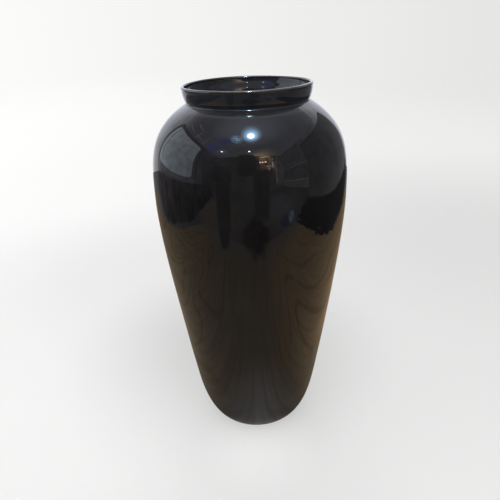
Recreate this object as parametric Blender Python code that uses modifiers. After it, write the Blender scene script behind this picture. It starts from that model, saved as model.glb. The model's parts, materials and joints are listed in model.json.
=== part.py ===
"""Tall black clay floor jar: small flat foot, high shoulder, short flared collar.

The jar is built up as a potter builds one this tall, in sections that are formed one by
one and luted together: a shallow base bowl, three wall sections, a shoulder dome, a neck
collar and a rim coil. Each section is a ring turned about the jar's axis. Where two
sections meet, the lower one has a raised tongue along the inner half of its top edge and
the upper one has a skirt that drops outside it, with a thin slip gap between them.

Units are metres, +Z is up, and the origin is the centre of the foot's underside.
"""
import math

import bpy
from mathutils import Vector
from mathutils.geometry import interpolate_bezier

# Driving dimensions of the outside
HEIGHT = 0.610
FOOT_RADIUS = 0.0570
BELLY_RADIUS = 0.155
BELLY_HEIGHT = 0.4395
CREASE_RADIUS = 0.094
CREASE_HEIGHT = 0.5845
RIM_RADIUS = 0.100

# The clay wall
WALL = 0.0070
NECK_WALL = 0.0062
RIM_THICKNESS = 0.0050
FLOOR_THICKNESS = 0.0100

# Where the heel's curve runs into the long wall, and how far the wall leans out there
HEEL_RADIUS = 0.1098
HEEL_HEIGHT = 0.0886
HEEL_LEAN = math.radians(9.8)

# How far each outline curve pulls along its end directions
FOOT_PULL = 0.0269
HEEL_PULL = 0.0547
WALL_LOW_PULL = 0.0229
WALL_HIGH_PULL = 0.0809
SHOULDER_LOW_PULL = 0.0666
SHOULDER_HIGH_PULL = 0.0724
SHOULDER_SLOPE = math.radians(31.0)

# Seams between the sections
BOWL_SEAM = 0.048
LOWER_SEAM = 0.190
MIDDLE_SEAM = 0.345
UPPER_SEAM = 0.505
TONGUE_HEIGHT = 0.008
COLLAR_TONGUE_HEIGHT = 0.005
SLIP_GAP = 0.0003

# Resolution of the turned surfaces
TURN_STEPS = 60
CURVE_POINTS = 160
ROWS_PER_METRE = 36
FEWEST_ROWS = 3
RIM_POINTS = 6
COLLAR_ROWS = 2
SHARP_ANGLE = math.radians(40)
MERGE_DISTANCE = 0.00001

COLLECTION_NAME = "black_clay_jar"

# Each clay's base colour and roughness; none of them is metallic
CLAYS = {
    "burnished_black": ((0.012, 0.012, 0.014), 0.06),
    "neck_black": ((0.016, 0.015, 0.016), 0.10),
    "worn_rim": ((0.030, 0.028, 0.030), 0.12),
    "foot_clay": ((0.022, 0.019, 0.017), 0.30),
}


def clear_scene():
    for scene_object in list(bpy.data.objects):
        bpy.data.objects.remove(scene_object, do_unlink=True)


def new_collection(name):
    collection = bpy.data.collections.new(name)
    bpy.context.scene.collection.children.link(collection)
    return collection


def clay_material(name):
    colour, roughness = CLAYS[name]
    material = bpy.data.materials.new(name)
    material.use_nodes = True
    shader = material.node_tree.nodes["Principled BSDF"]
    shader.inputs["Base Color"].default_value = (*colour, 1.0)
    shader.inputs["Roughness"].default_value = roughness
    shader.inputs["Metallic"].default_value = 0.0
    return material


# The outline, as (radius, height) points ---------------------------------------------

def curve(start, start_handle, end_handle, end):
    """One cubic curve of the outline, with its handles given as steps from its ends."""
    knots = [Vector(start), Vector(start) + start_handle, Vector(end) + end_handle, Vector(end)]
    points = interpolate_bezier(*[knot.to_3d() for knot in knots], CURVE_POINTS)
    return [point.to_2d() for point in points[:-1]] + [knots[-1]]


def outer_outline():
    """The outside of the vessel from the foot's edge up to the crease under the collar."""
    foot = (FOOT_RADIUS, 0.0)
    heel = (HEEL_RADIUS, HEEL_HEIGHT)
    belly = (BELLY_RADIUS, BELLY_HEIGHT)
    crease = (CREASE_RADIUS, CREASE_HEIGHT)
    lean = Vector((math.sin(HEEL_LEAN), math.cos(HEEL_LEAN)))
    down_slope = Vector((math.cos(SHOULDER_SLOPE), -math.sin(SHOULDER_SLOPE)))
    up = Vector((0.0, 1.0))
    outward = Vector((1.0, 0.0))
    points = curve(foot, outward * FOOT_PULL, -lean * HEEL_PULL, heel)
    points += curve(heel, lean * WALL_LOW_PULL, -up * WALL_HIGH_PULL, belly)[1:]
    points += curve(belly, up * SHOULDER_LOW_PULL, down_slope * SHOULDER_HIGH_PULL, crease)[1:]
    return points


def inset(points, depth):
    """The outline moved into the wall by depth, along each point's own normal."""
    moved = []
    for index, point in enumerate(points):
        before = points[max(index - 1, 0)]
        after = points[min(index + 1, len(points) - 1)]
        along = (after - before).normalized()
        moved.append(point + Vector((-along.y, along.x)) * depth)
    return moved


def radius_at(points, height):
    """The outline's radius at a height; the outline rises all the way."""
    for low, high in zip(points, points[1:]):
        if low.y <= height <= high.y:
            share = (height - low.y) / (high.y - low.y)
            return low.x + (high.x - low.x) * share
    raise ValueError(f"the outline doesn't reach {height}")


def run_up(points, bottom, top):
    """The stretch of an outline between two heights, in even steps along it."""
    inside = [point for point in points if bottom < point.y < top]
    ends = (Vector((radius_at(points, bottom), bottom)), Vector((radius_at(points, top), top)))
    path = [ends[0], *inside, ends[1]]
    lengths = [0.0]
    for low, high in zip(path, path[1:]):
        lengths.append(lengths[-1] + (high - low).length)
    rows = max(FEWEST_ROWS, round(lengths[-1] * ROWS_PER_METRE))
    stretch = []
    index = 0
    for row in range(rows + 1):
        target = lengths[-1] * row / rows
        while index < len(lengths) - 2 and lengths[index + 1] < target:
            index += 1
        share = (target - lengths[index]) / (lengths[index + 1] - lengths[index])
        stretch.append(path[index].lerp(path[index + 1], share))
    return stretch


def run_down(points, bottom, top):
    return list(reversed(run_up(points, bottom, top)))


OUTSIDE = outer_outline()
INSIDE = inset(OUTSIDE, WALL)
SKIRT_FACE = inset(OUTSIDE, (WALL - SLIP_GAP) / 2)
TONGUE_FACE = inset(OUTSIDE, (WALL + SLIP_GAP) / 2)


def on(points, height):
    return Vector((radius_at(points, height), height))


def tongue_edge(seam):
    """A section's top edge, from its inner side out to its outer side."""
    tip = seam + TONGUE_HEIGHT
    return [on(TONGUE_FACE, tip), on(TONGUE_FACE, seam), on(OUTSIDE, seam)]


def skirt_edge(seam):
    """A section's bottom edge, from its outer side in to its inner side."""
    low = seam + SLIP_GAP
    high = seam + TONGUE_HEIGHT + SLIP_GAP
    return [on(SKIRT_FACE, low), on(SKIRT_FACE, high)]


# Turned sections --------------------------------------------------------------------

def turned(name, profile, material, collection):
    """Turn a closed profile about the jar's axis. It runs down the outer side first."""
    mesh = bpy.data.meshes.new(name)
    last = len(profile) - 1
    edges = [(index, index + 1) for index in range(last)] + [(last, 0)]
    mesh.from_pydata([(point.x, 0.0, point.y) for point in profile], edges, [])
    section = bpy.data.objects.new(name, mesh)
    collection.objects.link(section)
    screw = section.modifiers.new("turn", "SCREW")
    screw.axis = "Z"
    screw.steps = TURN_STEPS
    screw.render_steps = TURN_STEPS
    screw.use_merge_vertices = True
    screw.merge_threshold = MERGE_DISTANCE
    smooth_with_crisp_edges(section)
    section.data.materials.append(material)
    return section


def smooth_with_crisp_edges(section):
    """Apply the turning and shade it smooth, except along the seams' corners."""
    depsgraph = bpy.context.evaluated_depsgraph_get()
    applied = bpy.data.meshes.new_from_object(section.evaluated_get(depsgraph))
    applied.name = section.name
    section.modifiers.clear()
    section.data = applied
    applied.shade_smooth()
    applied.set_sharp_from_angle(angle=SHARP_ANGLE)


def base_bowl_profile():
    """Solid floor and heel, from the top edge's outer side down to the axis and back."""
    floor = FLOOR_THICKNESS
    profile = run_down(OUTSIDE, 0.0, BOWL_SEAM)
    profile.append(Vector((0.0, 0.0)))
    profile.append(Vector((0.0, floor)))
    profile += run_up(INSIDE, floor, BOWL_SEAM + TONGUE_HEIGHT)
    profile += tongue_edge(BOWL_SEAM)[:-1]
    return profile


def wall_profile(bottom_seam, top_seam):
    """A wall ring between two seams."""
    profile = run_down(OUTSIDE, bottom_seam + SLIP_GAP, top_seam)
    profile += skirt_edge(bottom_seam)
    profile += run_up(INSIDE, bottom_seam + TONGUE_HEIGHT + SLIP_GAP, top_seam + TONGUE_HEIGHT)
    profile += tongue_edge(top_seam)[:-1]
    return profile


def neck_inside(height):
    """Radius of the neck's bore, which flares with the collar."""
    bottom = CREASE_RADIUS - NECK_WALL
    top = RIM_RADIUS - RIM_THICKNESS
    share = (height - CREASE_HEIGHT) / (HEIGHT - CREASE_HEIGHT)
    return bottom + (top - bottom) * max(share, 0.0)


def throat_height():
    """Where the shoulder's inner side meets the neck's bore."""
    return INSIDE[-1].y


def collar_joint_radius():
    return CREASE_RADIUS - NECK_WALL / 2


def shoulder_profile():
    """The dome above the last wall ring, ending in a tongue that stands inside the collar."""
    tongue_top = CREASE_HEIGHT + COLLAR_TONGUE_HEIGHT
    tongue_radius = collar_joint_radius() - SLIP_GAP / 2
    profile = [Vector((CREASE_RADIUS, CREASE_HEIGHT))]
    profile += run_down(OUTSIDE, UPPER_SEAM + SLIP_GAP, CREASE_HEIGHT)[1:]
    profile += skirt_edge(UPPER_SEAM)
    profile += run_up(INSIDE, UPPER_SEAM + TONGUE_HEIGHT + SLIP_GAP, throat_height())
    profile.append(Vector((neck_inside(CREASE_HEIGHT), CREASE_HEIGHT)))
    profile.append(Vector((neck_inside(tongue_top), tongue_top)))
    profile.append(Vector((tongue_radius, tongue_top)))
    profile.append(Vector((tongue_radius, CREASE_HEIGHT)))
    return profile


def collar_outside(height):
    """Radius of the collar's outside, a plain flare from the crease to the rim coil."""
    share = (height - CREASE_HEIGHT) / (rim_centre_height() - CREASE_HEIGHT)
    return CREASE_RADIUS + (RIM_RADIUS - CREASE_RADIUS) * share


def rim_centre_height():
    return HEIGHT - RIM_THICKNESS / 2


def collar_top():
    return rim_centre_height() - RIM_THICKNESS / 2


def collar_profile():
    """The short flared band, notched at its foot to sit over the shoulder's tongue."""
    foot = CREASE_HEIGHT + SLIP_GAP
    notch_top = CREASE_HEIGHT + COLLAR_TONGUE_HEIGHT + SLIP_GAP
    notch_radius = collar_joint_radius() + SLIP_GAP / 2
    top = collar_top()
    profile = []
    for row in range(COLLAR_ROWS + 1):
        height = top + (foot - top) * row / COLLAR_ROWS
        profile.append(Vector((collar_outside(height), height)))
    profile.append(Vector((notch_radius, foot)))
    profile.append(Vector((notch_radius, notch_top)))
    for row in range(COLLAR_ROWS + 1):
        height = notch_top + (top - notch_top) * row / COLLAR_ROWS
        profile.append(Vector((neck_inside(height), height)))
    return profile


def rim_profile():
    """The lip: a coil rounded over the top, with a flat underside bedded on the collar."""
    bed = collar_top() + SLIP_GAP
    tube = RIM_THICKNESS / 2
    centre = Vector((RIM_RADIUS - tube, rim_centre_height()))
    profile = []
    for step in range(RIM_POINTS + 1):
        angle = math.pi * (1 - step / RIM_POINTS)
        profile.append(centre + Vector((math.cos(angle), math.sin(angle))) * tube)
    profile.append(Vector((collar_outside(bed), bed)))
    profile.append(Vector((neck_inside(bed), bed)))
    return profile


def build():
    clear_scene()
    jar = new_collection(COLLECTION_NAME)
    clay = {name: clay_material(name) for name in CLAYS}
    burnished = clay["burnished_black"]
    turned("base_bowl", base_bowl_profile(), clay["foot_clay"], jar)
    turned("lower_wall", wall_profile(BOWL_SEAM, LOWER_SEAM), burnished, jar)
    turned("middle_wall", wall_profile(LOWER_SEAM, MIDDLE_SEAM), burnished, jar)
    turned("upper_wall", wall_profile(MIDDLE_SEAM, UPPER_SEAM), burnished, jar)
    turned("shoulder_dome", shoulder_profile(), burnished, jar)
    turned("neck_collar", collar_profile(), clay["neck_black"], jar)
    turned("rim_coil", rim_profile(), clay["worn_rim"], jar)


build()
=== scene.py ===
"""Looks of the tall black clay jar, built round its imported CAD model.

Each CAD section is replaced by a finely turned one with the same stepped seams. All of
them are cut from one continuous skin, so the fired jar shows no seam. The skin carries the
slight unevenness of hand-raised clay, and its clay materials are node based. Stage pieces
that only mirror-like reflections see stand in for the room round the jar.

Units are metres, in the CAD frame: +Z is up and the origin is under the foot's centre.
"""
import json
import math

import bpy
import numpy as np
from mathutils import Matrix, Vector
from mathutils.geometry import interpolate_bezier

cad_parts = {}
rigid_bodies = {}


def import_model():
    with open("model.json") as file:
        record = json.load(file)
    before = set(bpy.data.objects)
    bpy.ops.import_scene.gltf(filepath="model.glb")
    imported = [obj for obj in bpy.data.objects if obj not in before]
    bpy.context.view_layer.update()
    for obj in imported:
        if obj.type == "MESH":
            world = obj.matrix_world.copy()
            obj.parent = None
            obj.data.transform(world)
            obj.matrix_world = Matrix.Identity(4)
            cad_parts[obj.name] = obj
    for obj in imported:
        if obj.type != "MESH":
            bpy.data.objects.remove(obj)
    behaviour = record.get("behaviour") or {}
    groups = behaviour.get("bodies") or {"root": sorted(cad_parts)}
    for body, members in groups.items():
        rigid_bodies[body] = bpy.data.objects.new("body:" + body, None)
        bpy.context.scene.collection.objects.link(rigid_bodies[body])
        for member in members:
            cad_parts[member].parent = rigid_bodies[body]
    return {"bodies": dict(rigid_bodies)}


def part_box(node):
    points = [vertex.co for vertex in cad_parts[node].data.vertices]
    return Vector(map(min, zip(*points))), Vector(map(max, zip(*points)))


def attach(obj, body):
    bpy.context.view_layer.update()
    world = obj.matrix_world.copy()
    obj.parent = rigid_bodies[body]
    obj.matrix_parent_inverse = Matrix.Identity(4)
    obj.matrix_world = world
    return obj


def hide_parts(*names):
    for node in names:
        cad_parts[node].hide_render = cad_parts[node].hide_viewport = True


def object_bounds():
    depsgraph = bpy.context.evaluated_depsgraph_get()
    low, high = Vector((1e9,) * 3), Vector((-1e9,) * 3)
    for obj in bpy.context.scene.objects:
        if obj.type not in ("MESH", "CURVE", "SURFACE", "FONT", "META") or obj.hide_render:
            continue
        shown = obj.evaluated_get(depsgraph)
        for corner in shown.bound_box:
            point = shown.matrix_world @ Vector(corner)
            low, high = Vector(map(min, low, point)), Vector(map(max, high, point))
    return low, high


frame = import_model()
CAD_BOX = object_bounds()
BODY = next(iter(frame["bodies"]))

# The CAD model's main sizes; its height and its lip's radius are read from the frame
HEIGHT = CAD_BOX[1].z
BELLY_RADIUS = 0.155
RIM_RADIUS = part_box("rim_coil")[1].x
FOOT_RADIUS = 0.0570
TONGUE_HEIGHT = 0.008

# The outline's knots and how far its curves pull along their end directions
HEEL = (0.1098, 0.0886)
HEEL_LEAN = math.radians(9.8)
BELLY_HEIGHT = 0.4395
CREASE = (0.094, 0.5845)
SHOULDER_SLOPE = math.radians(31.0)
FOOT_PULL = 0.0269
HEEL_PULL = 0.0547
WALL_LOW_PULL = 0.0229
WALL_HIGH_PULL = 0.0809
SHOULDER_LOW_PULL = 0.0666
SHOULDER_HIGH_PULL = 0.0724

# The clay wall, the crease's fillet and the lip
WALL = 0.0070
FLOOR_THICKNESS = 0.0100
NECK_WALL = 0.0062
LIP_THICKNESS = 0.0050
LIP_UNDERCUT = math.radians(-40)
FLARE_LOW = math.radians(24)
FLARE_HIGH = math.radians(3)
FILLET = 0.0022
FILLET_PULL = 0.6
SEAT = 0.005

# The neck's bore and the throat under it
BORE_PULL = 0.008
THROAT_PULL = 0.004
THROAT_TURN = 0.35
THROAT_DROP = 0.0096

# The round corner between the inside wall and the floor
CORNER_RISE = 0.010
CORNER_REACH = 0.028
CORNER_WALL_PULL = 0.009
CORNER_FLOOR_PULL = 0.012

# How far down inside the lip, along the skin, the burnished clay ends
THROAT_DEPTH = 0.045

# Mesh resolution
TURNS = 192
OUTER_STEP = 0.0030
INNER_STEP = 0.0035
UNDERSIDE_STEP = 0.006
HEEL_STEP = 0.0020
COLLAR_STEP = 0.0010
LIP_STEP = 0.0006
CURVE_POINTS = 400
FINE_STEP = 0.0001

# Rings further apart than this along the skin belong to different runs of it
RUN_BREAK = 0.006

UP = Vector((0.0, 1.0))
OUT = Vector((1.0, 0.0))


def node_bottom(node):
    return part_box(node)[0].z


# The outline ------------------------------------------------------------------------

def curve(start, start_handle, end_handle, end):
    """One cubic curve of the outline, with its handles given as steps from its ends."""
    knots = [Vector(start), Vector(start) + start_handle, Vector(end) + end_handle, Vector(end)]
    points = interpolate_bezier(*[knot.to_3d() for knot in knots], CURVE_POINTS)
    return [point.to_2d() for point in points[:-1]] + [knots[-1]]


def outside_outline():
    """The outside from the foot's edge up to the crease."""
    foot = (FOOT_RADIUS, 0.0)
    belly = (BELLY_RADIUS, BELLY_HEIGHT)
    lean = Vector((math.sin(HEEL_LEAN), math.cos(HEEL_LEAN)))
    down_slope = Vector((math.cos(SHOULDER_SLOPE), -math.sin(SHOULDER_SLOPE)))
    points = curve(foot, OUT * FOOT_PULL, -lean * HEEL_PULL, HEEL)
    points += curve(HEEL, lean * WALL_LOW_PULL, -UP * WALL_HIGH_PULL, belly)[1:]
    points += curve(belly, UP * SHOULDER_LOW_PULL, down_slope * SHOULDER_HIGH_PULL, CREASE)[1:]
    return points


def inset(points, depth):
    """The outline moved into the wall by depth, along each point's own normal."""
    moved = []
    for index, point in enumerate(points):
        before = points[max(index - 1, 0)]
        after = points[min(index + 1, len(points) - 1)]
        along = (after - before).normalized()
        moved.append(point + Vector((-along.y, along.x)) * depth)
    return moved


def at_height(points, height):
    """The point of a rising outline at a height."""
    for low, high in zip(points, points[1:]):
        if low.y <= height <= high.y:
            return low.lerp(high, (height - low.y) / (high.y - low.y))
    raise ValueError(f"the outline doesn't reach {height}")


def between(points, bottom, top):
    """The stretch of a rising outline between two heights."""
    inside = [point for point in points if bottom < point.y < top]
    return [at_height(points, bottom), *inside, at_height(points, top)]


def spaced(points, step):
    """The same path with points an even step apart, as an array of (radius, height)."""
    path = np.array([tuple(point) for point in points])
    lengths = np.r_[0.0, np.cumsum(np.hypot(*np.diff(path, axis=0).T))]
    count = max(2, int(round(lengths[-1] / step)) + 1)
    wanted = np.linspace(0.0, lengths[-1], count)
    return np.stack([np.interp(wanted, lengths, path[:, axis]) for axis in (0, 1)], axis=1)


OUTSIDE = outside_outline()
INSIDE = inset(OUTSIDE, WALL)
MIDDLE = inset(OUTSIDE, WALL / 2)
THROAT_END = at_height(INSIDE, CREASE[1] - THROAT_DROP)
COLLAR_START = at_height(OUTSIDE, CREASE[1] - FILLET * math.sin(SHOULDER_SLOPE))


def lip_point(angle):
    """A point on the lip's round bead; angle 0 is its outermost point."""
    radius = LIP_THICKNESS / 2
    centre = Vector((RIM_RADIUS - radius, HEIGHT - radius))
    return centre + Vector((math.cos(angle), math.sin(angle))) * radius


def flared(angle):
    """The direction up a wall that leans outwards by an angle."""
    return Vector((math.sin(angle), math.cos(angle)))


def collar_side():
    """The crease's tight fillet and the collar, which flares and then stands up to the lip."""
    crease = Vector(CREASE)
    lip_start = lip_point(LIP_UNDERCUT)
    low = flared(FLARE_LOW)
    fillet_end = crease + low * FILLET
    into_crease = (crease - COLLAR_START) * FILLET_PULL
    fillet = curve(COLLAR_START, into_crease, -low * FILLET * FILLET_PULL, fillet_end)
    reach = (lip_start - fillet_end).length / 3
    side = curve(fillet_end, low * reach, -flared(FLARE_HIGH) * reach, lip_start)
    return fillet + side[1:]


def lip_round():
    """Over the lip's bead, from its outer underside to its inner side."""
    turn = np.linspace(LIP_UNDERCUT, math.pi, CURVE_POINTS)
    return [lip_point(angle) for angle in turn]


def neck_bore():
    """Down the neck's inside from the lip and round the throat into the shoulder."""
    top = Vector((RIM_RADIUS - LIP_THICKNESS, HEIGHT - LIP_THICKNESS / 2))
    throat = Vector((CREASE[0] - NECK_WALL, CREASE[1]))
    bore = curve(top, -UP * BORE_PULL, UP * BORE_PULL, throat)
    into_throat = (throat - THROAT_END) * THROAT_TURN
    return bore + curve(throat, -UP * THROAT_PULL, into_throat, THROAT_END)[1:]


# The skin: one closed outline from under the foot, up, over the lip and down inside ------

def whole_outline():
    """The skin's path as (radius, height): out under the foot, up, in and down to the floor."""
    underside = [Vector((0.0, 0.0)), Vector((FOOT_RADIUS, 0.0))]
    outside = [point for point in OUTSIDE if point.y < COLLAR_START.y]
    floor_corner = at_height(INSIDE, FLOOR_THICKNESS + CORNER_RISE)
    inside = between(INSIDE, floor_corner.y, THROAT_END.y)[::-1]
    floor_start = Vector((floor_corner.x - CORNER_REACH, FLOOR_THICKNESS))
    down_wall = (inside[-1] - inside[-2]).normalized()
    corner = curve(inside[-1], down_wall * CORNER_WALL_PULL, OUT * CORNER_FLOOR_PULL, floor_start)
    floor = [Vector((0.0, FLOOR_THICKNESS))]
    path = underside + outside[1:] + collar_side() + lip_round()[1:] + neck_bore()[1:]
    return path + inside[1:] + corner[1:] + floor


def fine_skin(path):
    """The skin's points evenly spaced at a fine step, and their path lengths."""
    points = spaced(path, FINE_STEP)
    lengths = np.r_[0.0, np.cumsum(np.hypot(*np.diff(points, axis=0).T))]
    return points, lengths


SKIN, SKIN_LENGTH = fine_skin(whole_outline())
TOP_POINT = int(SKIN[:, 1].argmax())

# Places along the skin's path: the foot's edge, the lip's top, and where the smooth middle of
# the floor inside starts
SMOOTH_FLOOR = 0.055
FOOT_EDGE = FOOT_RADIUS
LIP_TOP = SKIN_LENGTH[TOP_POINT]
FLOOR_EDGE = SKIN_LENGTH[-1] - SMOOTH_FLOOR


def length_at(height, inner=False):
    """Where the skin passes a height, on its outer or its inner side."""
    if inner:
        heights = SKIN[TOP_POINT:, 1][::-1]
        return float(np.interp(height, heights, SKIN_LENGTH[TOP_POINT:][::-1]))
    return float(np.interp(height, SKIN[:TOP_POINT, 1], SKIN_LENGTH[:TOP_POINT]))


# The clay's unevenness --------------------------------------------------------------

def waves(seed, count, height, around, wavelength):
    """Random waves over the skin: heights, turns round the jar, radians per metre, phases."""
    random = np.random.default_rng(seed)
    heights = height * random.uniform(0.5, 1.0, count)
    turns = random.integers(around[0], around[1] + 1, count)
    rates = 2 * math.pi / random.uniform(*wavelength, count) * random.choice((-1, 1), count)
    return np.stack([heights, turns, rates, random.uniform(0, 2 * math.pi, count)])


def wave_height(wave_set, along, angle):
    total = np.zeros_like(along)
    for height, turns, rate, phase in wave_set.T:
        total += height * np.cos(turns * angle + rate * along + phase)
    return total


# Each set of waves says its seed, count, height, turns round the jar and wavelengths.
# Outside: long swells from raising the wall, small dents, and fine rings from polishing
OUTER_WAVES = np.hstack([
    waves(11, 8, 0.00009, (0, 3), (0.18, 0.5)),
    waves(12, 24, 0.000011, (0, 8), (0.03, 0.09)),
    waves(13, 8, 0.0000022, (0, 0), (0.008, 0.02)),
])

# Inside: finger ridges, and dents between them
INNER_WAVES = np.hstack([
    waves(21, 4, 0.00016, (1, 1), (0.013, 0.019)),
    waves(22, 10, 0.00010, (1, 6), (0.04, 0.12)),
])


def fade(value, start, end):
    share = np.clip((value - start) / (end - start), 0.0, 1.0)
    return share * share * (3 - 2 * share)


# How far along the skin the waves take to grow from the foot, to die past the lip, and the
# stretch past the lip in which the inside's waves grow
FOOT_FADE = 0.06
LIP_FADE = 0.02
INSIDE_FADE = (0.03, 0.06)

# The jar's wider unevenness: the mouth's oval as a share of its radius, the lip's dips and
# its tilt, how far the neck leans to one side, the share of the height where the oval starts,
# and how far the oval and the dips are turned round the jar, in radians
OVAL = 0.0018
LIP_DIP = 0.00022
LIP_TILT = 0.0008
NECK_SHIFT = 0.0005
OVAL_START = 0.05
OVAL_TURN = 0.6
DIP_TURN = 2.2

# The powers of a point's share of the height by which these grow towards the lip
DIP_GROWTH = 8
TILT_GROWTH = 20
SHIFT_GROWTH = 12

# How far along the skin, to either side, its direction is read
NORMAL_REACH = 0.0004


def clay_height(along, angle):
    """How far the clay stands proud of its true outline."""
    outer = fade(along, FOOT_EDGE, FOOT_EDGE + FOOT_FADE)
    outer = outer * (1 - fade(along, LIP_TOP, LIP_TOP + LIP_FADE))
    inner = fade(along, LIP_TOP + INSIDE_FADE[0], LIP_TOP + INSIDE_FADE[1])
    inner = inner * (1 - fade(along, FLOOR_EDGE, SKIN_LENGTH[-1]))
    outer_height = outer * wave_height(OUTER_WAVES, along, angle)
    return outer_height + inner * wave_height(INNER_WAVES, along, angle)


def outline_at(along):
    """The true outline's radius and height at path lengths."""
    return np.stack([np.interp(along, SKIN_LENGTH, SKIN[:, axis]) for axis in (0, 1)])


def skin_points(along, angle):
    """Points of the uneven skin, by path length and angle round the jar."""
    radius, height = outline_at(along)
    d_radius, d_height = outline_at(along + NORMAL_REACH) - outline_at(along - NORMAL_REACH)
    size = np.maximum(np.hypot(d_radius, d_height), 1e-9)
    proud = clay_height(along, angle)
    radius = radius + proud * d_height / size
    height = height - proud * d_radius / size
    share = np.clip(height / HEIGHT, 0, 1)
    oval = OVAL * fade(share, OVAL_START, 1.0) * np.cos(2 * angle + OVAL_TURN + share)
    radius = radius * (1 + oval)
    dips = np.cos(2 * angle + DIP_TURN) + 0.5 * np.cos(3 * angle)
    height = height + LIP_DIP * share ** DIP_GROWTH * dips
    height = height + LIP_TILT * share ** TILT_GROWTH * np.cos(angle)
    across = radius * np.cos(angle) - NECK_SHIFT * share ** SHIFT_GROWTH
    return np.stack([across, radius * np.sin(angle), height], axis=-1)


def skin_normals(along, angle):
    """The uneven skin's outward normals, by path length and angle round the jar."""
    step = 0.0003
    turn = 0.002
    margin = 0.001
    along = np.clip(along, margin, SKIN_LENGTH[-1] - margin)
    up = skin_points(along + step, angle) - skin_points(along - step, angle)
    across = skin_points(along, angle + turn) - skin_points(along, angle - turn)
    normal = np.cross(across, up)
    size = np.linalg.norm(normal, axis=-1, keepdims=True)
    return normal / np.maximum(size, 1e-12)


# Turned pieces ----------------------------------------------------------------------

ANGLES = np.linspace(0, 2 * math.pi, TURNS, endpoint=False)


def skin_rings(start, end, step):
    """Rings of the skin between two path lengths: (points, normals, path length) each."""
    rows = max(2, int(round((end - start) / step)) + 1)
    rings = []
    for along in np.linspace(start, end, rows):
        spread = np.full(TURNS, along)
        rings.append((skin_points(spread, ANGLES), skin_normals(spread, ANGLES), along))
    return rings


def plain_ring(radius, height):
    """A ring inside the clay, on a seam's face."""
    points = np.stack([radius * np.cos(ANGLES), radius * np.sin(ANGLES), np.full(TURNS, height)], 1)
    return (points, None, None)


def seam_rings(seam):
    """The two hidden rings of a stepped seam, from its outer side in."""
    low = at_height(MIDDLE, seam)
    high = at_height(MIDDLE, seam + TONGUE_HEIGHT)
    return [plain_ring(*low), plain_ring(*high)]


def clay_slot(along):
    """Which clay shows at a path length: 0 burnished, 1 inside, 2 under the foot."""
    if along < FOOT_EDGE:
        return 2
    return 1 if along > LIP_TOP + THROAT_DEPTH else 0


def face_corners(low, high, k, sizes):
    """The corners, each (ring, place round it), of the face between two rings at a place k."""
    after = (k + 1) % TURNS
    if sizes[low] == 1:
        return [(low, 0), (high, after), (high, k)]
    if sizes[high] == 1:
        return [(low, k), (low, after), (high, 0)]
    return [(low, k), (low, after), (high, after), (high, k)]


def flat_normal(a, b, c):
    flat = np.cross(b - a, c - a)
    return flat / max(np.linalg.norm(flat), 1e-12)


def turned_mesh(name, vertices, faces, slots, normals, materials):
    """A smooth mesh that shows the given normals at its faces' corners."""
    mesh = bpy.data.meshes.new(name)
    mesh.from_pydata([tuple(v) for v in vertices], [], faces)
    mesh.polygons.foreach_set("material_index", slots)
    mesh.shade_smooth()
    mesh.normals_split_custom_set([tuple(n) for n in normals])
    for material in materials:
        mesh.materials.append(material)
    return mesh


def turned_piece(name, rings, closed, materials):
    """A closed piece from rings in skin order, with the skin's own normals on its skin."""
    vertices = []
    first = []
    for points, _, _ in rings:
        first.append(len(vertices))
        on_axis = np.hypot(points[:, 0], points[:, 1]).max() < 1e-6
        vertices += [points[0]] if on_axis else list(points)
    sizes = np.diff(first + [len(vertices)])
    pairs = list(zip(range(len(rings) - 1), range(1, len(rings))))
    if closed:
        pairs.append((len(rings) - 1, 0))
    faces, slots, normals = [], [], []
    for low, high in pairs:
        is_skin = rings[low][1] is not None and rings[high][1] is not None
        is_skin = is_skin and abs(rings[high][2] - rings[low][2]) < RUN_BREAK
        slot = clay_slot((rings[low][2] + rings[high][2]) / 2) if is_skin else 0
        for k in range(TURNS):
            corners = face_corners(low, high, k, sizes)
            faces.append([first[ring] + index for ring, index in corners])
            slots.append(slot)
            if is_skin:
                normals += [rings[ring][1][index] for ring, index in corners]
            else:
                flat = flat_normal(*[np.array(vertices[first[r] + i]) for r, i in corners[:3]])
                normals += [flat] * len(corners)
    mesh = turned_mesh(name, vertices, faces, slots, normals, materials)
    piece = bpy.data.objects.new(name, mesh)
    bpy.context.scene.collection.objects.link(piece)
    return piece


# Materials --------------------------------------------------------------------------

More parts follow.
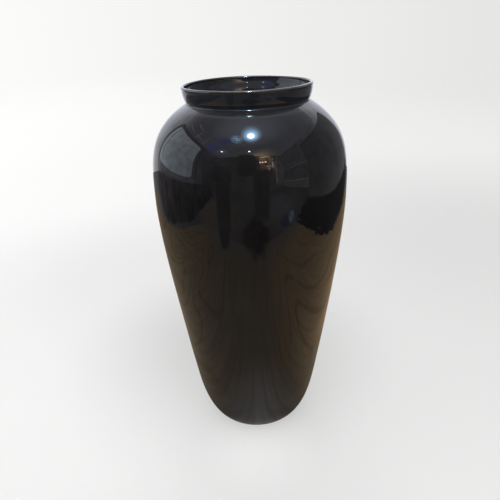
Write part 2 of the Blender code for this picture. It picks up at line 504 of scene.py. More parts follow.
class Nodes:
    """A short way to write a material's node tree."""

    def __init__(self, name):
        self.material = bpy.data.materials.new(name)
        self.material.use_nodes = True
        self.tree = self.material.node_tree
        self.tree.nodes.clear()

    def add(self, kind, inputs=None, **settings):
        node = self.tree.nodes.new("ShaderNode" + kind)
        for key, value in settings.items():
            setattr(node, key, value)
        for key, value in (inputs or {}).items():
            self.feed(node.inputs[key], value)
        return node

    def feed(self, socket, value):
        if isinstance(value, bpy.types.NodeSocket):
            self.tree.links.new(value, socket)
        else:
            socket.default_value = value

    def own(self):
        """Places on the piece itself."""
        return self.add("TexCoord").outputs["Object"]

    def world(self):
        """Places in the shared frame."""
        return self.add("NewGeometry").outputs["Position"]

    def scaled(self, where, scale):
        return self.add("Mapping", {"Vector": where, "Scale": scale}).outputs["Vector"]

    def place(self, scale=(1, 1, 1)):
        return self.scaled(self.own(), scale)

    def length(self, where):
        return self.add("VectorMath", {0: where}, operation="LENGTH").outputs["Value"]

    def noise(self, where, scale, detail=2.0, roughness=0.5, distortion=0.0):
        inputs = {"Vector": where, "Scale": scale, "Detail": detail,
                  "Roughness": roughness, "Distortion": distortion}
        return self.add("TexNoise", inputs).outputs["Fac"]

    def ranged(self, value, low, high, to_low=0.0, to_high=1.0, smooth=True):
        inputs = {"Value": value, "From Min": low, "From Max": high,
                  "To Min": to_low, "To Max": to_high}
        kind = "SMOOTHSTEP" if smooth else "LINEAR"
        return self.add("MapRange", inputs, interpolation_type=kind).outputs["Result"]

    def maths(self, operation, a, b=0.0):
        return self.add("Math", {0: a, 1: b}, operation=operation).outputs["Value"]

    def times(self, a, b):
        return self.maths("MULTIPLY", a, b)

    def plus(self, a, b):
        return self.maths("ADD", a, b)

    def opposite(self, share):
        """1 less a share."""
        return self.maths("SUBTRACT", 1.0, share)

    def blend(self, share, a, b):
        node = self.add("Mix", data_type="RGBA")
        self.feed(node.inputs["Factor"], share)
        self.feed(node.inputs["A"], a)
        self.feed(node.inputs["B"], b)
        return node.outputs["Result"]

    def axis(self, where, name):
        return self.add("SeparateXYZ", {"Vector": where}).outputs[name]

    def bump(self, height, distance, strength=1.0, normal=None):
        inputs = {"Height": height, "Distance": distance, "Strength": strength}
        if normal is not None:
            inputs["Normal"] = normal
        return self.add("Bump", inputs).outputs["Normal"]

    def clay(self, colour, roughness, normal, **extra):
        inputs = {"Base Color": colour, "Roughness": roughness, "Normal": normal,
                  "Metallic": 0.0, "IOR": CLAY_IOR, **extra}
        shader = self.add("BsdfPrincipled", inputs)
        self.add("OutputMaterial", {"Surface": shader.outputs["BSDF"]})
        return self.material

    def glow(self, colour, strength=1.0):
        shader = self.add("Emission", {"Color": colour, "Strength": strength})
        self.add("OutputMaterial", {"Surface": shader.outputs["Emission"]})
        return self.material

    def shown(self, share, shader):
        """Show a shader where share is 1, and what is behind it where share is 0."""
        clear = self.add("BsdfTransparent")
        mix = self.add("MixShader", {0: share, 1: clear.outputs[0], 2: shader.outputs[0]})
        self.add("OutputMaterial", {"Surface": mix.outputs[0]})
        return self.material


def grey(value):
    return (value, value, value, 1.0)


CLAY_IOR = 1.5

# The burnished clay's two tones, the tones of what lies on it, and painted reflected light at the
# neck and below the crease
BLACK_DARK = (0.0022, 0.0022, 0.0026, 1)
BLACK_LIGHT = (0.0050, 0.0046, 0.0044, 1)
SPECK = (0.16, 0.15, 0.14, 1)
# The neck's cool grey is painted reflected light.
NECK_PAINTED_SHEEN = (0.0105, 0.0125, 0.0165, 1)
# A dusty grey, lifted and cooled as painted reflected light.
CREASE_DUST_AND_SHEEN = (0.028, 0.029, 0.033, 1)
SCUFFED = (0.045, 0.040, 0.036, 1)

# The gloss: how rough the polishing strokes are, and what haze adds at most
STROKES = (60, 60, 900)
STROKE_ROUGHNESS = (0.008, 0.022)
HAZE = 0.012

# Heights between which the clay turns duller, where the crease is awkward to burnish. Over the same
# heights its colour turns a paler cool grey, which is painted reflected light
NECK_DULL_AND_SHEEN = (CREASE[1] - 0.014, CREASE[1] + 0.002)

# Heights between which a dusty band, partly painted reflected light, lies below the crease, and over
# which it thins out again
DUST_AND_SHEEN = (CREASE[1] - 0.0100, CREASE[1] - 0.0068, CREASE[1] - 0.0020, CREASE[1] + 0.0005)

# How far up from the foot's edge the clay is scuffed
SCUFF_HEIGHT = 0.006

# The lip's tones, and the heights between which it is worn paler; the pale band along its top is also
# a painted highlight line
LIP_BLACK = (0.004, 0.0038, 0.004, 1)
# Pale wear, and a painted highlight along the lip's top.
LIP_PALE_HIGHLIGHT = (0.090, 0.088, 0.090, 1)
LIP_WORN_AND_HIGHLIGHT = (HEIGHT - 0.0022, HEIGHT - 0.0004)

# The inside's tones, and the heights between which it turns from dull to burnished
INSIDE_DARK = (0.014, 0.013, 0.013, 1)
INSIDE_LIGHT = (0.030, 0.028, 0.026, 1)
THROAT_BLACK = (0.005, 0.0048, 0.005, 1)
THROAT_GLOSS = (0.545, 0.578)

# The underside's tones
FOOT_DARK = (0.016, 0.014, 0.013, 1)
FOOT_LIGHT = (0.034, 0.030, 0.027, 1)
FOOT_WORN = (0.085, 0.076, 0.068, 1)


def rare_spots(n, where, scale, radii, patch_scale, patch):
    """Small round spots, 1 in their middles, that show only in rare patches of noise."""
    cells = n.add("TexVoronoi", {"Vector": where, "Scale": scale, "Randomness": 1.0})
    spot = n.ranged(cells.outputs["Distance"], *radii, 1.0, 0.0)
    return n.times(spot, n.ranged(n.noise(where, patch_scale, 1.0), *patch))


def crease_dust_and_sheen(n, where, height):
    """How much the clay is dusty and lifted by painted reflected light: a patchy band just below the
    crease.
    """
    start, full, thinning, end = DUST_AND_SHEEN
    band = n.times(n.ranged(height, start, full), n.ranged(height, thinning, end, 1.0, 0.0))
    return n.times(band, n.ranged(n.noise(where, 40.0, 3.0), 0.25, 0.6, 0.55, 0.95))


def foot_scuffs(n, where, height):
    """How scuffed the clay is: in patches, close above the foot's edge."""
    low = n.ranged(height, 0.0, SCUFF_HEIGHT, 1.0, 0.0)
    return n.times(low, n.ranged(n.noise(where, 90.0, 3.0), 0.4, 0.65))


def burnished_clay():
    """Mirror-burnished black clay: faint tone clouds, polishing strokes, rare pits and specks, with
    painted reflected light in cool greys at the neck and in a dusty band below the crease.
    """
    n = Nodes("burnished_black_clay")
    where = n.place()
    height = n.axis(where, "Z")
    pit = rare_spots(n, where, 210.0, (0.10, 0.22), 31.0, (0.60, 0.70))
    speck = rare_spots(n, where, 95.0, (0.03, 0.07), 23.0, (0.66, 0.74))
    # The neck's share: duller clay in the roughness, and painted reflected light in the colour.
    neck = n.ranged(height, *NECK_DULL_AND_SHEEN)
    # A dusty band below the crease, partly painted reflected light.
    dust_and_sheen = crease_dust_and_sheen(n, where, height)
    scuff = foot_scuffs(n, where, height)
    clouds = n.ranged(n.noise(where, 7.0, 4.0, 0.55), 0.35, 0.7)
    colour = n.blend(clouds, BLACK_DARK, BLACK_LIGHT)
    colour = n.blend(n.times(speck, 0.5), colour, SPECK)
    # Painted reflected light: the neck turns a cool grey.
    colour = n.blend(n.times(neck, 0.8), colour, NECK_PAINTED_SHEEN)
    colour = n.blend(dust_and_sheen, colour, CREASE_DUST_AND_SHEEN)
    colour = n.blend(n.times(scuff, 0.5), colour, SCUFFED)
    strokes = n.noise(n.place(STROKES), 1.0, 3.0, 0.6)
    roughness = n.ranged(strokes, 0.3, 0.75, *STROKE_ROUGHNESS)
    haze = n.ranged(n.noise(where, 16.0, 3.0), 0.55, 0.8, 0.0, HAZE)
    for rougher in (haze, n.times(pit, 0.3), n.times(neck, 0.02), n.times(scuff, 0.35)):
        roughness = n.plus(roughness, rougher)
    soft = n.noise(n.place((1, 1, 1.6)), 26.0, 2.0, 0.4)
    normal = n.bump(soft, 0.00008)
    normal = n.bump(n.times(pit, -1.0), 0.00015, 1.0, normal)
    return n.clay(colour, roughness, normal)


def lip_clay():
    """The same clay worn a little paler and drier along the top of the lip, where the pale tone is
    also a painted highlight line.
    """
    n = Nodes("lip_clay_worn_and_highlit")
    where = n.place()
    patchy = n.ranged(n.noise(where, 70.0, 4.0, 0.6), 0.35, 0.7)
    worn = n.ranged(n.axis(where, "Z"), *LIP_WORN_AND_HIGHLIGHT)
    # The worn share also paints the lip's bright highlight line.
    worn = n.times(worn, n.plus(0.45, n.times(patchy, 0.55)))
    colour = n.blend(worn, LIP_BLACK, LIP_PALE_HIGHLIGHT)
    roughness = n.plus(0.02, n.times(worn, 0.04))
    normal = n.bump(n.noise(where, 60.0, 3.0), 0.00010)
    return n.clay(colour, roughness, normal, **{"Specular IOR Level": 0.75})


def inside_clay():
    """Clay that is burnished only in the throat: dull carbon black with finger marks below."""
    n = Nodes("inside_clay")
    where = n.place()
    burnished = n.ranged(n.axis(where, "Z"), *THROAT_GLOSS)
    raw = n.opposite(burnished)
    grain = n.noise(where, 240.0, 4.0, 0.65)
    clouds = n.ranged(n.noise(where, 18.0, 4.0), 0.3, 0.7)
    colour = n.blend(burnished, n.blend(clouds, INSIDE_DARK, INSIDE_LIGHT), THROAT_BLACK)
    raw_roughness = n.ranged(grain, 0.3, 0.7, 0.42, 0.62)
    roughness = n.plus(n.times(raw, raw_roughness), n.times(burnished, 0.05))
    return n.clay(colour, roughness, n.bump(grain, 0.00025, raw))


def foot_clay():
    """The unburnished underside: dull, gritty, scuffed paler towards its edge."""
    n = Nodes("foot_clay")
    where = n.place()
    grain = n.noise(where, 320.0, 4.0, 0.7)
    clouds = n.noise(where, 30.0, 4.0, 0.6)
    edge = n.ranged(n.length(where), FOOT_RADIUS * 0.8, FOOT_RADIUS)
    worn = n.times(edge, n.ranged(clouds, 0.35, 0.65))
    colour = n.blend(n.ranged(clouds, 0.3, 0.7), FOOT_DARK, FOOT_LIGHT)
    colour = n.blend(worn, colour, FOOT_WORN)
    roughness = n.ranged(grain, 0.3, 0.7, 0.5, 0.75)
    return n.clay(colour, roughness, n.bump(grain, 0.0003))


# The jar ----------------------------------------------------------------------------

def make_jar():
    burnished = burnished_clay()
    clays = [burnished, inside_clay(), foot_clay()]
    lip = lip_clay()
    seams = [node_bottom(n) for n in ("lower_wall", "middle_wall", "upper_wall", "shoulder_dome")]
    seat_top = CREASE[1] + SEAT
    joint = CREASE[0] - NECK_WALL / 2
    seat_rings = [plain_ring(joint, CREASE[1]), plain_ring(joint, seat_top)]
    lip_seam = node_bottom("rim_coil")
    collar_start = length_at(COLLAR_START.y)

    def outer(low, high, step=OUTER_STEP):
        return skin_rings(low, high, step)

    def inner(high, low):
        return skin_rings(length_at(high, inner=True), length_at(low, inner=True), INNER_STEP)

    base = outer(0.0, FOOT_EDGE, UNDERSIDE_STEP)[:-1]
    base += outer(FOOT_EDGE, length_at(seams[0]), HEEL_STEP)
    base += seam_rings(seams[0])
    base += skin_rings(length_at(seams[0] + TONGUE_HEIGHT, inner=True), SKIN_LENGTH[-1], INNER_STEP)
    pieces = {"base_bowl": turned_piece("fired_base", base, False, clays)}
    names = ("lower_wall", "middle_wall", "upper_wall")
    for name, low, high in zip(names, seams, seams[1:]):
        rings = outer(length_at(low), length_at(high)) + seam_rings(high)
        rings += inner(high + TONGUE_HEIGHT, low + TONGUE_HEIGHT) + seam_rings(low)[::-1]
        pieces[name] = turned_piece("fired_" + name, rings, True, clays)
    rings = outer(length_at(seams[3]), collar_start) + seat_rings
    rings += inner(seat_top, seams[3] + TONGUE_HEIGHT) + seam_rings(seams[3])[::-1]
    pieces["shoulder_dome"] = turned_piece("fired_shoulder", rings, True, clays)
    rings = outer(collar_start, length_at(lip_seam), COLLAR_STEP)
    rings += inner(lip_seam, seat_top) + seat_rings[::-1]
    pieces["neck_collar"] = turned_piece("fired_collar", rings, True, clays)
    rings = skin_rings(length_at(lip_seam), length_at(lip_seam, inner=True), LIP_STEP)
    pieces["rim_coil"] = turned_piece("fired_lip", rings, True, [lip, lip, lip])
    return pieces


for node, piece in make_jar().items():
    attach(piece, BODY)
    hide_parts(node)


# The stage --------------------------------------------------------------------------

QUARTER = math.pi / 2
CEILING = 2.5
UNSEEN = ("camera", "diffuse", "transmission", "volume_scatter", "shadow")


def card(name, width, depth, place, turn, material, mirrored_only=True):
    """A flat stage card. A mirrored-only card shows in reflections and nowhere else."""
    bpy.ops.mesh.primitive_plane_add(size=1.0, location=place, rotation=turn)
    flat = bpy.context.object
    flat.name = name
    flat.scale = (width, depth, 1.0)
    flat.data.materials.append(material)
    flat.visible_glossy = mirrored_only
    if mirrored_only:
        for kind in UNSEEN:
            setattr(flat, "visible_" + kind, False)
    return flat


def upright(name, azimuth, away, width, bottom, top, material):
    """A card that stands facing the jar. Azimuth 0 is towards -Y and 90 towards +X."""
    angle = math.radians(azimuth)
    place = (away * math.sin(angle), -away * math.cos(angle), (bottom + top) / 2)
    return card(name, width, top - bottom, place, (QUARTER, 0, angle), material)


def level_card(name, width, depth, place, material, turn=0):
    """A card that lies level, turned by degrees about the vertical."""
    return card(name, width, depth, place, (0, 0, math.radians(turn)), material)


def pool_share(n, world, centre, reach):
    """How far a point is inside a round pool of light: 1 at its centre, 0 from its reach out."""
    offset = n.add("VectorMath", {0: world, 1: centre}, operation="DISTANCE")
    return n.ranged(offset.outputs["Value"], 0.0, reach, 1.0, 0.0)


def pooled_glow(name, base, pools, patchiness=0.12):
    """A surface whose tone drifts from its base colour into pools of other tones."""
    n = Nodes(name)
    world = n.world()
    colour = (*base, 1.0)
    for centre, reach, tone in pools:
        colour = n.blend(pool_share(n, world, centre, reach), colour, (*tone, 1.0))
    patches = n.noise(world, 2.2, 3.0)
    return n.glow(colour, n.ranged(patches, 0.3, 0.7, 1 - patchiness, 1 + patchiness))


def card_mask(n, corners, softness, ragged):
    """1 on a card and 0 at its edges. Corners of 2 make an oval, and more a squarer card."""
    where = n.own()
    total = 0.0
    for name in ("X", "Y"):
        side = n.times(n.maths("ABSOLUTE", n.axis(where, name)), 2.0)
        total = n.plus(total, n.maths("POWER", side, corners))
    edge = n.maths("POWER", total, 1.0 / corners)
    wander = n.ranged(n.noise(n.world(), 9.0, 3.0), 0.3, 0.7, 0.0, ragged)
    return n.ranged(n.plus(edge, wander), 1.0 - softness, 1.0, 1.0, 0.0)


def soft_glow(name, low, high=None, corners=10.0, softness=0.10, ragged=0.0, patches=(3.5, 0.15)):
    """A soft-edged card whose colour runs from low at its bottom to high at its top.

    Its patches are noise of a scale and a strength."""
    n = Nodes(name)
    rise = n.plus(n.axis(n.own(), "Y"), 0.5)
    scale, uneven = patches
    noise = n.noise(n.world(), scale, 3.0)
    colour = n.blend(rise, (*low, 1.0), (*(high or low), 1.0))
    strength = n.ranged(noise, 0.3, 0.7, 1 - uneven, 1 + uneven)
    light = n.add("Emission", {"Color": colour, "Strength": strength})
    return n.shown(card_mask(n, corners, softness, ragged), light)


def added_glow(name, colour, strength, sharpness=2.0, mottled=0.0):
    """A round glow that adds its light to what is behind it and fades to nothing at its edge."""
    n = Nodes(name)
    inside = n.ranged(n.length(n.own()), 0.0, 0.5, 1.0, 0.0, smooth=False)
    noise = n.noise(n.world(), 11.0, 2.0)
    strength = n.ranged(noise, 0.38, 0.62, strength * (1 - mottled), strength * (1 + mottled))
    strength = n.times(n.maths("POWER", inside, sharpness), strength)
    light = n.add("Emission", {"Color": (*colour, 1.0), "Strength": strength})
    clear = n.add("BsdfTransparent")
    both = n.add("AddShader", {0: light.outputs[0], 1: clear.outputs[0]})
    n.add("OutputMaterial", {"Surface": both.outputs[0]})
    return n.material


# The wood's tones: a dark and a light one for its fibres, its dark figure and its near end. The pale
# pair is painted light, the boards in a pool of light in front of the jar
WOOD_DULL = ((0.300, 0.238, 0.165, 1), (0.372, 0.295, 0.211, 1))
WOOD_WARM = ((0.47, 0.325, 0.190, 1), (0.57, 0.400, 0.242, 1))
WOOD_LIT_PALE = ((0.51, 0.48, 0.48, 1), (0.68, 0.645, 0.635, 1))
WOOD_FIGURE = (0.17, 0.125, 0.075, 1)
WOOD_COOL = (0.27, 0.255, 0.25, 1)

# How far the grain is drawn out along the boards, and how many lines its figure makes
FIGURE_STRETCH = (1.0, 0.30, 1.0)
FIBRE_STRETCH = (1.0, 0.05, 1.0)
FIGURE_LINES = 120.0

# The wooden boards under the jar, and how far their cool near end reaches in
BOARDS_X = (-1.0, 0.90)
BOARDS_Y = (-0.80, 1.25)
COOL_END = 0.32


def wood_figure(n, world, across):
    """How dark the figure's lines are, which is most at both sides of the jar."""
    figure = n.noise(n.scaled(world, FIGURE_STRETCH), 1.7, 2.0, 0.45, 0.4)
    rings = n.maths("SINE", n.times(figure, FIGURE_LINES))
    sideways = n.ranged(n.maths("ABSOLUTE", across), 0.10, 0.35)
    darkest = n.ranged(across, -0.30, 0.20, 0.43, 0.35)
    return n.times(n.ranged(rings, 0.70, 1.0), n.ranged(sideways, 0.0, 1.0, 0.10, darkest))


def wood_colour(n, world, front):
    """Fibres and figure lines, warmer to both sides, and pale close in front of the jar, where a pool
    of light is painted.
    """
    across = n.axis(world, "X")
    fibre = n.ranged(n.noise(n.scaled(world, FIBRE_STRETCH), 60.0, 3.0), 0.3, 0.7)
    warm = n.blend(fibre, *WOOD_WARM)
    colour = n.blend(fibre, *WOOD_DULL)
    colour = n.blend(n.ranged(across, 0.08, 0.34), colour, warm)
    colour = n.blend(n.ranged(across, -0.30, -0.75, 0.0, 0.45), colour, warm)
    colour = n.blend(wood_figure(n, world, across), colour, WOOD_FIGURE)
    cool_end = n.ranged(n.axis(world, "Y"), BOARDS_Y[0], BOARDS_Y[0] + COOL_END, 0.8, 0.0)
    colour = n.blend(cool_end, colour, WOOD_COOL)
    # Painted light: a pool of light that turns the boards pale close in front of the jar.
    return n.blend(n.times(front, 0.95), colour, n.blend(fibre, *WOOD_LIT_PALE))


def wood_shade(n, world, front):
    """How brightly the boards are lit: less behind the jar and close round its foot."""
    behind = n.ranged(n.axis(world, "Y"), -0.05, 0.8, 1.0, 0.62)
    shadow = pool_share(n, world, (0.0, 0.13, 0.0), 0.34)
    shade = n.times(behind, n.opposite(n.times(shadow, 0.85)))
    away = n.length(world)
    beside = n.ranged(away, FOOT_RADIUS, FOOT_RADIUS + 0.10, 0.15, 1.0)
    contact = n.ranged(away, FOOT_RADIUS + 0.004, FOOT_RADIUS + 0.026, 0.08, 1.0)
    return n.times(shade, n.times(n.maths("MAXIMUM", beside, front), contact))


def wood_glow():
    """The mirrored wooden boards: long figured grain, in the jar's own soft shadow close to it."""
    n = Nodes("mirrored_wood")
    world = n.world()
    front = pool_share(n, world, (0.0, -0.13, 0.0), 0.17)
    return n.glow(wood_colour(n, world, front), wood_shade(n, world, front))


# Tones of the room round the jar, as radiance; each pool is (centre, reach, tone)
ROOM = {
    "mirrored_ground": ((0.22, 0.205, 0.215), [
        ((-0.9, -1.2, 0.0), 0.9, (0.33, 0.28, 0.22)),
        ((0.9, -1.5, 0.0), 0.8, (0.31, 0.30, 0.34)),
        ((1.6, 0.3, 0.0), 1.6, (0.05, 0.047, 0.05)),
        ((-1.9, 0.3, 0.0), 1.2, (0.12, 0.11, 0.115)),
        ((0.0, 2.2, 0.0), 1.5, (0.13, 0.125, 0.13)),
    ]),
    "mirrored_ceiling": ((0.58, 0.59, 0.68), [
        ((0.0, 2.2, CEILING), 2.2, (0.38, 0.38, 0.43)),
        ((2.2, 0.3, CEILING), 1.3, (0.52, 0.52, 0.59)),
        ((-1.6, 0.5, CEILING), 1.3, (0.46, 0.46, 0.53)),
        ((-2.0, 2.5, CEILING), 1.7, (1.18, 1.20, 1.36)),
        ((0.0, -0.55, CEILING), 1.5, (1.15, 1.24, 1.50)),
        ((-0.94, -1.05, CEILING), 0.50, (0.42, 0.50, 1.25)),
        ((-1.73, -1.29, CEILING), 0.65, (0.42, 0.50, 1.30)),
        ((0.8, -2.8, CEILING), 1.1, (1.7, 1.35, 1.10)),
        ((0.6, -3.0, CEILING), 0.75, (3.2, 2.2, 1.5)),
    ]),
    "mirrored_left_wall": ((0.32, 0.31, 0.35), [
        ((-2.2, 2.2, 1.1), 1.7, (1.15, 1.17, 1.30)),
        ((-2.2, -2.4, 2.5), 1.3, (0.42, 0.43, 0.85)),
    ]),
    "mirrored_right_wall": ((0.38, 0.38, 0.42), [
        ((2.2, 0.0, 2.6), 1.4, (0.52, 0.52, 0.58)),
        ((2.2, 2.4, 1.7), 2.0, (1.45, 1.50, 1.75)),
    ]),
    "mirrored_front_wall": ((0.25, 0.245, 0.26), [
        ((2.2, -3.0, 1.1), 1.2, (0.62, 0.62, 0.64)),
        ((0.9, -3.0, 2.5), 0.8, (1.5, 1.05, 0.70)),
    ]),
    "mirrored_back_wall": ((0.84, 0.85, 0.92), [
        ((0.0, 1.7, 2.1), 2.7, (1.60, 1.66, 1.88)),
    ]),
}

# Where each wall stands: its azimuth and its distance
WALLS = {
    "mirrored_left_wall": (-90, 2.2),
    "mirrored_right_wall": (90, 2.2),
    "mirrored_front_wall": (0, 3.0),
    "mirrored_back_wall": (180, 1.7),
}
WALL_WIDTH = 6.4

# The layers of the mirrored floor, a hair apart and just under the foot
GROUND_LEVEL = -0.0006
BOARDS_LEVEL = -0.0004
LYING_LEVEL = -0.0002


def make_room():
    """What the jar mirrors: boards on a grey floor, walls, a pale ceiling and plain furniture."""
    for name, (azimuth, away) in WALLS.items():
        upright(name, azimuth, away, WALL_WIDTH, 0.0, CEILING, pooled_glow(name, *ROOM[name]))
    ceiling = pooled_glow("mirrored_ceiling", *ROOM["mirrored_ceiling"], patchiness=0.05)
    level_card("mirrored_ceiling", WALL_WIDTH, WALL_WIDTH, (0, 0, CEILING), ceiling)
    ground = pooled_glow("mirrored_ground", *ROOM["mirrored_ground"])
    level_card("mirrored_ground", WALL_WIDTH, WALL_WIDTH, (0, 0, GROUND_LEVEL), ground)
    wide = BOARDS_X[1] - BOARDS_X[0]
    deep = BOARDS_Y[1] - BOARDS_Y[0]
    middle = (sum(BOARDS_X) / 2, sum(BOARDS_Y) / 2, BOARDS_LEVEL)
    level_card("mirrored_boards", wide, deep, middle, wood_glow())
    glows = {name: soft_glow(name, **looks) for name, looks in GLOWS.items()}
    for name, glow, *sizes in FACING:
        upright(name, *sizes, glows[glow])
    for name, width, height, place, turn in STANDING:
        card(name, width, height, place, (QUARTER, 0, math.radians(turn)), glows[name])
    for name, glow, width, depth, place, turn in LYING:
        level_card(name, width, depth, (*place, LYING_LEVEL), glows[glow], turn)
    for start, end in RAFTERS:
        ceiling_bar("mirrored_rafter", start, end, RAFTER_WIDTH, glows["mirrored_rafter"])


# The tones, at the bottom and the top, and the edges of the things in the room
GLOWS = {
    # the window on the left, with pale bars under the ceiling beside it
    "mirrored_window": dict(low=(1.05, 1.17, 1.30), high=(1.38, 1.55, 1.68), corners=14.0,
                            softness=0.05),
    "mirrored_sill": dict(low=(0.40, 0.43, 0.50), softness=0.3),
    "mirrored_frame": dict(low=(0.20, 0.21, 0.23), softness=0.3),
    "mirrored_rafter": dict(low=(1.30, 1.27, 1.34), softness=0.5),
    # the doorway on the right of the front wall, and the warm light that falls through it
    "mirrored_door": dict(low=(0.30, 0.23, 0.21), high=(1.95, 1.20, 0.75), corners=12.0,
                          patches=(7.0, 0.60)),
    "mirrored_strip": dict(low=(7.4, 5.3, 4.0), corners=3.0, softness=0.5),
    "mirrored_spot": dict(low=(17.0, 13.5, 11.5), corners=2.0, softness=0.6),
    "mirrored_gleam": dict(low=(3.8, 3.2, 2.9), corners=2.0, softness=0.5),
    "mirrored_shelf": dict(low=(1.20, 0.95, 0.82), high=(2.0, 1.55, 1.30), corners=4.0,
                           softness=0.4, ragged=0.3, patches=(12.0, 0.9)),
    "mirrored_jamb": dict(low=(0.41, 0.41, 0.43), high=(0.57, 0.52, 0.50), softness=0.2),
    "mirrored_jamb_edge": dict(low=(1.15, 1.10, 1.12), corners=6.0, softness=0.4),
    # the low bench on the left, and the panel and picture on the right, with the dark gap under the
    # panel and a dark band of floor beside it, both painted shade
    "mirrored_low_bench": dict(low=(0.09, 0.082, 0.088), high=(0.18, 0.165, 0.18), corners=4.0,
                               softness=0.12, ragged=0.06, patches=(9.0, 0.30)),
    "mirrored_board": dict(low=(0.23, 0.225, 0.24), high=(0.27, 0.27, 0.30), corners=16.0,
                           softness=0.04),
    # painted shade: the dark gap under the panel
    "mirrored_board_shadow_gap": dict(low=(0.05, 0.048, 0.05), corners=8.0, softness=0.2),
    # painted shade: a dark band on the floor beside the panel
    "mirrored_board_floor_shade": dict(low=(0.055, 0.052, 0.055), corners=6.0, softness=0.05, ragged=0.16),
    "mirrored_picture_border": dict(low=(0.55, 0.55, 0.57), corners=16.0, softness=0.04),
    "mirrored_picture": dict(low=(0.30, 0.29, 0.33), corners=16.0, softness=0.04),
    # dark furniture in front of the jar, with a box and a bag beside it, and a dark patch under the
    # cupboard that is its feet and painted shadow
    "mirrored_dark_wall": dict(low=(0.17, 0.17, 0.19), high=(0.30, 0.29, 0.34), softness=0.15),
    "mirrored_cupboard": dict(low=(0.15, 0.14, 0.145), high=(0.24, 0.23, 0.25), corners=5.0,
                              softness=0.18),
    "mirrored_leg": dict(low=(0.12, 0.11, 0.12), high=(0.20, 0.19, 0.21), corners=7.0, softness=0.25),
    "mirrored_foot": dict(low=(0.11, 0.105, 0.12), corners=1.7, softness=0.3, ragged=0.08),
    # the cupboard's feet and its painted shadow on the boards
    "mirrored_feet_and_shadow": dict(low=(0.105, 0.078, 0.078), corners=1.9, softness=0.3, ragged=0.15),
    "mirrored_box": dict(low=(0.25, 0.37, 0.56), high=(0.54, 0.73, 1.00), corners=2.5,
                         softness=0.4, ragged=0.35, patches=(14.0, 0.5)),
    "mirrored_bag": dict(low=(0.13, 0.16, 0.27), corners=2.5, softness=0.3, ragged=0.2),
}

# Cards that stand facing the jar: name, glow, azimuth, distance, width, bottom and top
FACING = (
    ("mirrored_frame_a", "mirrored_frame", -127, 1.95, 0.09, 0.1, 1.9),
    ("mirrored_frame_b", "mirrored_frame", -119, 1.92, 0.03, 0.3, 2.1),
    ("mirrored_frame_c", "mirrored_frame", -61, 1.98, 0.06, 0.1, 2.3),
    ("mirrored_door", "mirrored_door", 19, 2.8, 0.86, 0.95, 2.12),
    ("mirrored_strip", "mirrored_strip", 17.5, 2.75, 0.74, 2.09, 2.18),
    ("mirrored_spot", "mirrored_spot", 11.6, 2.75, 0.09, 1.59, 1.73),
    ("mirrored_spot", "mirrored_spot", 14.3, 2.75, 0.13, 1.59, 1.73),
    ("mirrored_spot", "mirrored_spot", 17.8, 2.75, 0.15, 1.59, 1.73),
    ("mirrored_gleam", "mirrored_gleam", 25.3, 2.7, 0.08, 1.10, 1.72),
    ("mirrored_shelf", "mirrored_shelf", 22.0, 2.7, 0.58, 0.98, 1.48),
    ("mirrored_jamb", "mirrored_jamb", 31.5, 2.9, 0.36, 0.10, 2.15),
    ("mirrored_jamb_edge", "mirrored_jamb_edge", 28.3, 2.85, 0.055, 0.12, 1.75),
    ("mirrored_dark_wall", "mirrored_dark_wall", -45, 2.7, 2.2, 0.0, 2.1),
    ("mirrored_cupboard", "mirrored_cupboard", -4, 1.35, 0.56, 0.58, 1.50),
    ("mirrored_cupboard_leg", "mirrored_leg", 11, 1.25, 0.40, -0.04, 0.80),
    ("mirrored_seat", "mirrored_cupboard", -30, 0.98, 0.40, 0.46, 0.78),
    ("mirrored_seat_stem", "mirrored_leg", -29, 0.98, 0.28, -0.04, 0.62),
    ("mirrored_box", "mirrored_box", 44, 1.16, 0.20, -0.02, 0.10),
)

# Cards that stand at one side, each with a glow of its own: name, width, height, place, turn
STANDING = (
    ("mirrored_window", 2.32, 1.78, (-2.0, 0.26, 1.23), -90),
    ("mirrored_sill", 2.5, 0.13, (-2.1, 0.05, 0.28), -90),
    ("mirrored_low_bench", 2.30, 0.36, (-1.110, -0.345, 0.18), -98.3),
    ("mirrored_board", 1.80, 1.16, (0.97, 0.40, 0.67), 90),
    ("mirrored_board_shadow_gap", 2.1, 0.22, (0.94, 0.42, 0.10), 90),
    ("mirrored_picture_border", 2.30, 0.77, (2.18, -1.89, 0.62), 90),
    ("mirrored_picture", 2.22, 0.66, (2.16, -1.89, 0.62), 90),
)

# Cards that lie on the floor: name, glow, width, depth, place and turn
LYING = (
    # painted shade on the floor beside the panel
    ("mirrored_board_floor_shade", "mirrored_board_floor_shade", 0.50, 1.5, (1.10, -0.10), 0),
    ("mirrored_seat_foot", "mirrored_foot", 0.24, 0.62, (-0.50, -0.86), -30),
    # feet and painted shadow under the cupboard
    ("mirrored_cupboard_feet_and_shadow", "mirrored_feet_and_shadow", 0.64, 0.80, (0.06, -1.00), 0),
    ("mirrored_bag", "mirrored_bag", 0.30, 0.34, (0.70, -0.96), 40),
)

# The ends, as (x, y), of the pale bars under the ceiling beside the window
RAFTERS = (
    ((-1.81, 1.12), (-1.94, 0.27)),
    ((-1.44, 0.70), (-1.47, -0.02)),
    ((-2.20, 0.05), (-1.47, -0.02)),
    ((-1.90, 0.16), (-1.88, -0.57)),
    ((-2.20, -0.70), (-1.24, -0.54)),
)
RAFTER_WIDTH = 0.045
RAFTER_DROP = 0.02


def ceiling_bar(name, start, end, width, material):
    """A thin card just under the ceiling, from one place to another."""
    run = Vector(end) - Vector(start)
    middle = (Vector(end) + Vector(start)) / 2
    turn = (0, 0, math.atan2(run.y, run.x))
    card(name, run.length, width, (*middle, CEILING - RAFTER_DROP), turn, material)


# The lamps' colours
COOL = (0.86, 0.95, 1.0)
BLUE = (0.37, 0.67, 1.0)
VIOLET = (0.4, 0.45, 1.0)


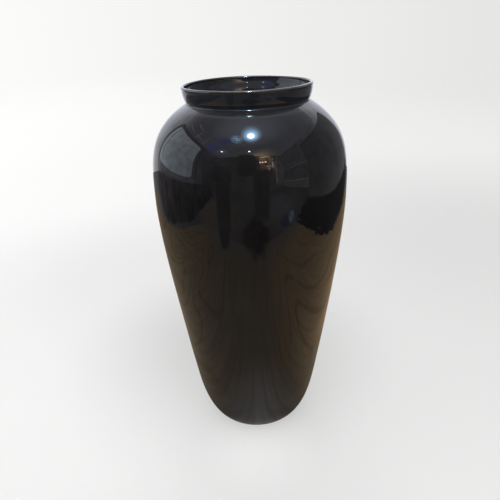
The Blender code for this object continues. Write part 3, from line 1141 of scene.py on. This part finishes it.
def lamp(name, place, below, radius, colour, strength, sharpness=0.3, length=1.0, mottled=0.0):
    """A soft glow some way below the ceiling that shows only in reflections."""
    glow = added_glow(name, colour, strength, sharpness, mottled)
    level_card(name, 2 * radius, 2 * radius * length, (*place, CEILING - below), glow)


def make_lamps():
    """The lamps at the front of the room, with the light that hangs round them."""
    lamp("lamp_main", (0.055, -0.79), 0.05, 0.125, COOL, 400, sharpness=1.6, length=1.35)
    lamp("lamp_halo", (0.065, -0.78), 0.04, 0.42, BLUE, 40.0, sharpness=2.4, length=1.6)
    lamp("lamp_haze", (-0.45, -1.00), 0.035, 0.26, BLUE, 5.0, sharpness=1.1, length=1.5, mottled=0.6)
    lamp("lamp_far", (-0.02, -2.18), 0.05, 0.06, COOL, 60)
    lamp("lamp_left", (-1.45, -1.91), 0.05, 0.06, COOL, 45)
    lamp("lamp_left_halo", (-1.45, -1.91), 0.04, 0.42, VIOLET, 1.8, sharpness=1.5)


# The floor's white, and the share of it that is left where its clouds are darkest. Then its own
# soft light in the middle, how much that rises to the left and falls to the right and over what
# distance, how far out the floor has thinned to nothing, and its size and height
FLOOR_WHITE = 0.36
FLOOR_CLOUD = 0.99
FLOOR_LIFT = 0.55
FLOOR_SLOPE = 0.10
FLOOR_SIDE = 2.5
FLOOR_REACH = 9.0
FLOOR_SIZE = 60.0
FLOOR_LEVEL = -0.0002

# The light that surrounds the jar, and its share at the left and at the right
STUDIO_LIGHT = 0.87
STUDIO_LEFT = 1.25
STUDIO_RIGHT = 0.77
STUDIO_WHITE = (1.0, 0.998, 0.983, 1.0)

# Soft shades on the floor as (centre, reach, depth): its dimmer far right, the jar's shadow
# behind it, its dimmer far left and near middle; the last is light thrown back by the foot
FLOOR_SHADES = (
    ((0.60, 0.80, 0.0), 1.4, 0.13),
    ((-0.06, 0.21, 0.0), 0.44, 0.20),
    ((-0.50, 0.60, 0.0), 0.70, 0.08),
    ((0.0, -0.30, 0.0), 0.32, 0.06),
    ((0.0, -0.12, 0.0), 0.13, -0.09),
)


def pale_floor():
    """The plain pale studio floor. It thins out far away, into the backdrop's own tone."""
    n = Nodes("pale_floor")
    where = n.world()
    cloud = n.noise(where, 3.0, 2.0)
    left = FLOOR_LIFT + FLOOR_SLOPE
    right = FLOOR_LIFT - FLOOR_SLOPE
    lift = n.ranged(n.axis(where, "X"), -FLOOR_SIDE, FLOOR_SIDE, left, right)
    for centre, reach, depth in FLOOR_SHADES:
        lift = n.maths("SUBTRACT", lift, n.times(pool_share(n, where, centre, reach), depth))
    white = n.blend(cloud, grey(FLOOR_WHITE * FLOOR_CLOUD), grey(FLOOR_WHITE))
    shader = n.add("BsdfPrincipled", {
        "Base Color": white, "Roughness": 0.9, "Normal": n.bump(cloud, 0.0001),
        "Emission Color": STUDIO_WHITE, "Emission Strength": lift})
    far = pool_share(n, where, (0.0, 0.0, 0.0), FLOOR_REACH)
    return n.shown(n.ranged(far, 0.0, 0.8), shader)


def make_studio():
    """The plain pale floor and the even light that the camera sees, brighter to the left."""
    place = (0, 0, FLOOR_LEVEL)
    turn = (0, 0, 0)
    card("pale_floor", FLOOR_SIZE, FLOOR_SIZE, place, turn, pale_floor(), mirrored_only=False)
    world = bpy.data.worlds.new("studio")
    bpy.context.scene.world = world
    world.use_nodes = True
    tree = world.node_tree
    where = tree.nodes.new("ShaderNodeTexCoord")
    sides = tree.nodes.new("ShaderNodeSeparateXYZ")
    tone = tree.nodes.new("ShaderNodeMapRange")
    tone.inputs["From Min"].default_value = -1.0
    tone.inputs["From Max"].default_value = 1.0
    tone.inputs["To Min"].default_value = STUDIO_LIGHT * STUDIO_LEFT
    tone.inputs["To Max"].default_value = STUDIO_LIGHT * STUDIO_RIGHT
    tree.links.new(where.outputs["Generated"], sides.inputs["Vector"])
    tree.links.new(sides.outputs["X"], tone.inputs["Value"])
    tree.links.new(tone.outputs["Result"], tree.nodes["Background"].inputs["Strength"])
    tree.nodes["Background"].inputs["Color"].default_value = STUDIO_WHITE


# The camera -------------------------------------------------------------------------

# Where the camera stands, how it is turned, and its lens and sensor in millimetres
CAMERA_AWAY = 1.30 * HEIGHT
CAMERA_UP = 1.142 * HEIGHT
PITCH = math.radians(24.69)
YAW = math.radians(-0.32)
ROLL = math.radians(-2.0)
LENS = 36.15
SENSOR = 36.0


def make_camera():
    level = math.cos(PITCH)
    forward = Vector((math.sin(YAW) * level, math.cos(YAW) * level, -math.sin(PITCH)))
    right = forward.cross(Vector((0, 0, 1))).normalized()
    upward = right.cross(forward)
    tilted_right = right * math.cos(ROLL) + upward * math.sin(ROLL)
    tilted_up = upward * math.cos(ROLL) - right * math.sin(ROLL)
    data = bpy.data.cameras.new("camera")
    data.lens = LENS
    data.sensor_width = SENSOR
    camera = bpy.data.objects.new("camera", data)
    turn = Matrix((tilted_right, tilted_up, -forward)).transposed()
    camera.matrix_world = Matrix.Translation((0, -CAMERA_AWAY, CAMERA_UP)) @ turn.to_4x4()
    bpy.context.scene.collection.objects.link(camera)
    bpy.context.scene.camera = camera


make_room()
make_lamps()
make_studio()
make_camera()
bpy.context.scene.view_settings.view_transform = "Standard"
